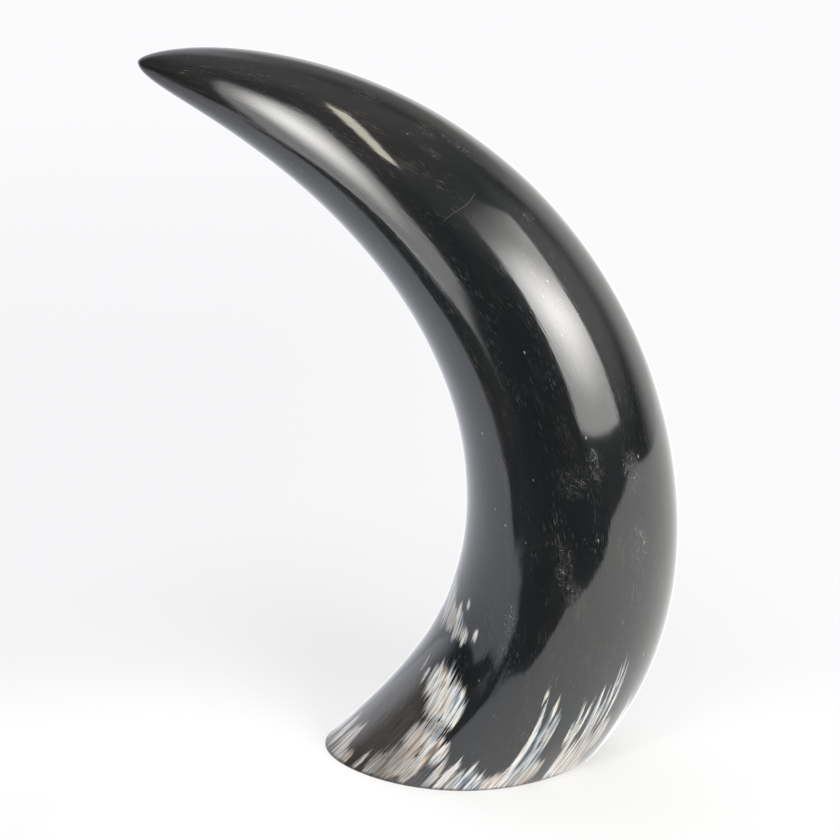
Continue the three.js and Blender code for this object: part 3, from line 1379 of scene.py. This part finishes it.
@dataclass(frozen=True)
class Softbox:
    """A flat lamp whose cloth is brightest in a core and may be shaded at its sides.

    The core is given by its place and half-size on the cloth, in metres.
    """

    name: str
    facing: Facing
    edge_radiance: float
    core_radiance: float = 0.0
    core_place: tuple[float, float] = (0.0, 0.0)
    core_half: tuple[float, float] = (1.0, 1.0)
    flags: tuple[Flag, ...] = ()
    tint: tuple[float, float, float] = (1.0, 1.0, 1.0)

    def place(self) -> None:
        """Hangs the lamp."""
        width, height = self.facing.size
        lamp = bpy.data.lights.new(self.name, "AREA")
        lamp.shape = "RECTANGLE"
        lamp.size = width
        lamp.size_y = height
        lamp.color = self.tint
        lamp.energy = width * height * math.pi
        self.cloth(lamp)
        holder = bpy.data.objects.new(self.name, lamp)
        bpy.context.scene.collection.objects.link(holder)
        holder.matrix_world = self.facing.stance()
        holder.visible_camera = False

    def cloth(self, lamp: bpy.types.AreaLight) -> None:
        """Gives the lamp's cloth its core and its shades.

        Args:
            lamp: The lamp.
        """
        lamp.use_nodes = True
        bench = NodeBench(lamp.node_tree)
        spot = bench.add("ShaderNodeNewGeometry").outputs["Parametric"]
        centred = bench.vector("SUBTRACT", spot, (0.5, 0.5, 0.0))
        metres = bench.vector("MULTIPLY", centred, (*self.facing.size, 0.0))
        from_core = bench.vector("SUBTRACT", metres, (*self.core_place, 0.0))
        scaled = bench.vector("DIVIDE", from_core, (*self.core_half, 1.0))
        reach = bench.vector("LENGTH", scaled, output="Value")
        glow = bench.math("ADD", bench.remap(reach, 0.0, 1.0, self.core_radiance, 0.0), self.edge_radiance)
        for flag in self.flags:
            way = math.radians(flag.way)
            run = bench.vector("DOT_PRODUCT", metres, (math.cos(way), math.sin(way), 0.0), output="Value")
            glow = bench.math("MULTIPLY", glow, bench.remap(run, flag.start, flag.end, 1.0, 0.0))
        bench.feed(lamp.node_tree.nodes["Emission"].inputs["Strength"], glow)


@dataclass(frozen=True)
class Studio:
    """A white table in a dim room, with two soft lamps in front and a small one above.

    The table's front edge is cut back in the middle, so that the front of the horn mirrors the dark
    room there and the white table on both sides. Two black cards are set low in front of the left
    lamp, one flat and one upright. The camera sees neither the cards nor the lamps.
    """

    lamps: tuple[Softbox, ...] = (
        Softbox("Right softbox", Facing(45, 12, 1.2, (0.93, 0.92), (-0.045, 0.05), 8.0),
                5.0, 13.5, (-0.01, -0.06), (0.72, 0.33), (Flag(110, 0.13, 0.47),), (1.0, 0.985, 0.96)),
        Softbox("Left softbox", Facing(-30, -5, 0.3, (0.19, 0.42), (-0.028, 0.045), -9.0),
                3.1, 14.5, (0.001, 0.034), (0.068, 0.165),
                (Flag(-38, 0.115, 0.127), Flag(175.8, 0.070, 0.080), Flag(-81, 0.168, 0.180),
                 Flag(7.3, 0.066, 0.078), Flag(90, 0.150, 0.195), Flag(234.5, 0.157, 0.167)),
                (1.0, 0.99, 0.975)),
        Softbox("Small lamp", Facing(7, 36, 1.2, (0.10, 0.66), (-0.062, 0.041), -11.4),
                10.0, tint=(1.0, 0.97, 0.80)),
    )
    card_height: float = 0.05
    card_edge: tuple[tuple[float, float], ...] = (
        (-0.132, -0.072), (-0.167, -0.092), (-0.202, -0.115), (-0.241, -0.131), (-0.256, -0.142),
        (-0.252, -0.163), (-0.236, -0.165), (-0.218, -0.174), (-0.200, -0.190), (-0.182, -0.190),
        (-0.161, -0.160), (-0.132, -0.145),
    )
    low_card_turn: float = -48.0
    low_card_distance: float = 0.13
    low_card_edge: tuple[tuple[float, float], ...] = (
        (0.008, 0.018), (0.042, 0.018), (0.050, 0.017), (0.050, 0.025), (0.044, 0.0285), (0.025, 0.034),
        (0.008, 0.0385),
    )
    table_edge: tuple[tuple[float, float], ...] = (
        (-0.9, -0.40), (-0.40, -0.27), (-0.19, -0.255), (-0.187, -0.215), (-0.206, -0.155),
        (-0.184, -0.10), (-0.150, -0.175), (-0.132, -0.222), (-0.10, -0.205), (-0.02, -0.18),
        (0.01, -0.195), (0.056, -0.24), (0.14, -0.24), (0.24, -0.265), (0.33, -0.33), (0.9, -0.33),
        (0.9, 2.2), (-0.9, 2.2),
    )
    # Painted reflection: the paper glows to light and reflections with these strengths, brighter on the
    # right.
    left_glow: float = 1.5
    right_glow: float = 2.1
    cool: Colour = (0.95, 0.975, 1.05, 1.0)
    warm: Colour = (1.015, 1.0, 0.98, 1.0)
    white: Colour = (0.965, 0.967, 0.98, 1.0)
    near_paper: Colour = (1.0, 1.0, 1.0, 1.0)
    # Painted shade: the paper that the camera sees is darker towards the back.
    shaded_back_paper: Colour = (0.915, 0.915, 0.93, 1.0)
    paper_albedo: float = 0.73
    card_albedo: float = 0.012
    ceiling_light: tuple[float, float] = (0.015, 0.225)
    overhead_light: float = 0.42
    back_light: float = 1.8
    wall_light: float = 0.85
    dark_corner: tuple[float, float, float] = (0.36, 0.50, 0.79)
    lit_wall: tuple[float, float, float] = (0.908, -0.243, 0.342)

    def cards(self) -> None:
        """Sets out the black cards: one lies flat, and a small one stands nearer to the horn."""
        self.black_card("flat_card", [Vector((x, y, self.card_height)) for x, y in self.card_edge])
        turn = math.radians(self.low_card_turn)
        away = Vector((math.sin(turn), -math.cos(turn), 0.0)) * self.low_card_distance
        side = Vector((math.cos(turn), math.sin(turn), 0.0))
        corners = [away + side * run + Vector((0.0, 0.0, height)) for run, height in self.low_card_edge]
        self.black_card("low_card", corners)

    def black_card(self, name: str, corners: list[Vector]) -> None:
        """Makes a black card that only reflections show.

        Args:
            name: What to call it.
            corners: Its outline.
        """
        mesh = bpy.data.meshes.new(name)
        mesh.from_pydata(corners, [], [tuple(reversed(range(len(corners))))])
        black = bpy.data.materials.new("Black card")
        black.use_nodes = True
        shader = black.node_tree.nodes["Principled BSDF"]
        shader.inputs["Base Color"].default_value = grey(self.card_albedo)
        shader.inputs["Roughness"].default_value = 0.9
        mesh.materials.append(black)
        card = bpy.data.objects.new(name, mesh)
        bpy.context.scene.collection.objects.link(card)
        card.visible_camera = False
        card.visible_shadow = False

    def table(self) -> None:
        """Lays the pale table top."""
        mesh = bpy.data.meshes.new("table_top")
        corners = [(x, y, 0.0) for x, y in self.table_edge]
        mesh.from_pydata(corners, [], [tuple(range(len(corners)))])
        mesh.materials.append(self.paper())
        table = bpy.data.objects.new("table_top", mesh)
        bpy.context.scene.collection.objects.link(table)

    @staticmethod
    def seen_apart(bench: NodeBench, mirrored: bpy.types.Node, seen: bpy.types.Node) -> bpy.types.NodeSocket:
        """Gives the camera one shader, and light and reflections another.

        Args:
            bench: The bench of the material or the room.
            mirrored: The shader for light and reflections.
            seen: The shader for the camera.

        Returns:
            The mixed shader.
        """
        both = bench.add("ShaderNodeMixShader")
        bench.feed(both.inputs[0], bench.add("ShaderNodeLightPath").outputs["Is Camera Ray"])
        bench.feed(both.inputs[1], mirrored.outputs[0])
        bench.feed(both.inputs[2], seen.outputs[0])
        return both.outputs[0]

    def paper(self) -> bpy.types.Material:
        """Makes the table's white paper, which fades into the white beyond it. The camera sees it with
        painted shade, darker towards the back and most on the left; to light and reflections it glows,
        brighter on the right.

        Returns:
            The material.
        """
        material = bpy.data.materials.new("White paper")
        material.use_nodes = True
        bench = NodeBench(material.node_tree)
        bench.tree.nodes.clear()
        place = bench.add("ShaderNodeTexCoord").outputs["Object"]
        across, back, _ = bench.split(place)
        matt = bench.add("ShaderNodeBsdfDiffuse")
        matt.inputs["Color"].default_value = grey(self.paper_albedo)
        beyond = bench.add("ShaderNodeEmission")
        # Painted shade: the paper darkens towards the back, most on the left.
        dim = bench.math("MULTIPLY", bench.remap(back, 0.0, 0.07), bench.remap(across, -0.12, 0.2, 1.0, 0.35))
        paper = bench.mix(dim, self.near_paper, self.shaded_back_paper)
        rim = bench.math("MAXIMUM", bench.remap(back, 0.35, 1.2), bench.remap(back, -0.16, -0.07, 1.0, 0.0))
        rim = bench.math("MAXIMUM", rim, bench.remap(bench.math("ABSOLUTE", across), 0.35, 0.8))
        bench.feed(beyond.inputs["Color"], bench.mix(rim, paper, self.white))
        seen = bench.add("ShaderNodeMixShader")
        distance = bench.vector("LENGTH", place, output="Value")
        bench.feed(seen.inputs[0], bench.remap(distance, 0.05, 0.24, 0.5, 1.0))
        bench.feed(seen.inputs[1], matt.outputs[0])
        bench.feed(seen.inputs[2], beyond.outputs[0])
        # Painted reflection: to light and reflections the paper glows like a lamp, brighter on the right than
        # on the left.
        glow = bench.add("ShaderNodeEmission")
        bench.feed(glow.inputs["Color"], bench.mix(bench.remap(across, -0.15, 0.15), self.cool, self.warm))
        shine = bench.remap(across, -0.05, 0.25, self.left_glow, self.right_glow)
        shine = bench.math("MULTIPLY", shine, bench.remap(across, -0.5, -0.2, 0.8, 1.0))
        bench.feed(glow.inputs["Strength"], shine)
        both = self.seen_apart(bench, glow, seen)
        bench.feed(bench.add("ShaderNodeOutputMaterial").inputs[0], both)
        return material

    def room(self) -> None:
        """Sets the room: white behind the horn, dim above and dark low in front."""
        world = bpy.data.worlds.new("Studio room")
        bpy.context.scene.world = world
        world.use_nodes = True
        bench = NodeBench(world.node_tree)
        bench.tree.nodes.clear()
        way = bench.add("ShaderNodeTexCoord").outputs["Generated"]
        across, depth, rise = bench.split(way)
        ceiling = bench.remap(rise, -0.02, 0.25, *self.ceiling_light)
        high = bench.remap(rise, 0.6, 0.95, 0.0, self.overhead_light)
        behind = bench.remap(depth, -0.04, 0.48, 0.0, self.back_light)
        at_wall = bench.vector("DOT_PRODUCT", way, self.lit_wall, output="Value")
        spill = bench.remap(at_wall, 0.90, 0.998, 0.0, self.wall_light)
        light = bench.math("MAXIMUM", bench.math("ADD", ceiling, high), behind)
        at_corner = bench.vector("DOT_PRODUCT", way, self.dark_corner, output="Value")
        shaded = bench.remap(at_corner, 0.86, 0.96, 1.0, 0.45)
        light = bench.math("MULTIPLY", bench.math("ADD", light, spill), shaded)
        room = bench.add("ShaderNodeBackground")
        bench.feed(room.inputs["Color"], bench.mix(bench.remap(across, -0.5, 0.5), self.cool, self.warm))
        bench.feed(room.inputs["Strength"], light)
        backdrop = bench.add("ShaderNodeBackground")
        backdrop.inputs["Color"].default_value = self.white
        bench.feed(bench.add("ShaderNodeOutputWorld").inputs[0], self.seen_apart(bench, room, backdrop))

    def build(self) -> None:
        """Lays the table, hangs the lamps and sets the room."""
        self.table()
        self.cards()
        for lamp in self.lamps:
            lamp.place()
        self.room()
        bpy.context.scene.view_settings.view_transform = "Standard"


@dataclass(frozen=True)
class Viewpoint:
    """The camera: a long lens a little above the horn, looking straight at its front."""

    lens: float = 85.0
    film_width: float = 36.0
    elevation: float = 22.0
    distance: float = 0.7
    target_height: float = 131.3 * MM

    def place(self, centre: Vector) -> None:
        """Sets the scene's camera.

        Args:
            centre: How far the horn was moved to stand over the origin.
        """
        data = bpy.data.cameras.new("Camera")
        data.lens = self.lens
        data.sensor_width = self.film_width
        camera = bpy.data.objects.new("Camera", data)
        bpy.context.scene.collection.objects.link(camera)
        rise = math.radians(self.elevation)
        target = Vector((centre.x, centre.y, self.target_height))
        camera.location = target + Vector((0, -math.cos(rise), math.sin(rise))) * self.distance
        camera.rotation_euler = (math.pi / 2 - rise, 0.0, 0.0)
        bpy.context.scene.camera = camera


def main() -> None:
    """Builds the horn, the studio and the camera, in that order."""
    logging.basicConfig(level=logging.INFO, format="%(message)s")
    horn = Horn()
    piece = horn.make()
    LOG.info("%s: %d faces", piece.name, len(piece.data.polygons))
    studio = Studio()
    studio.build()
    LOG.info("studio: %d lamps", len(studio.lamps))
    Viewpoint().place(horn.centre)


if __name__ == "__main__":
    main()
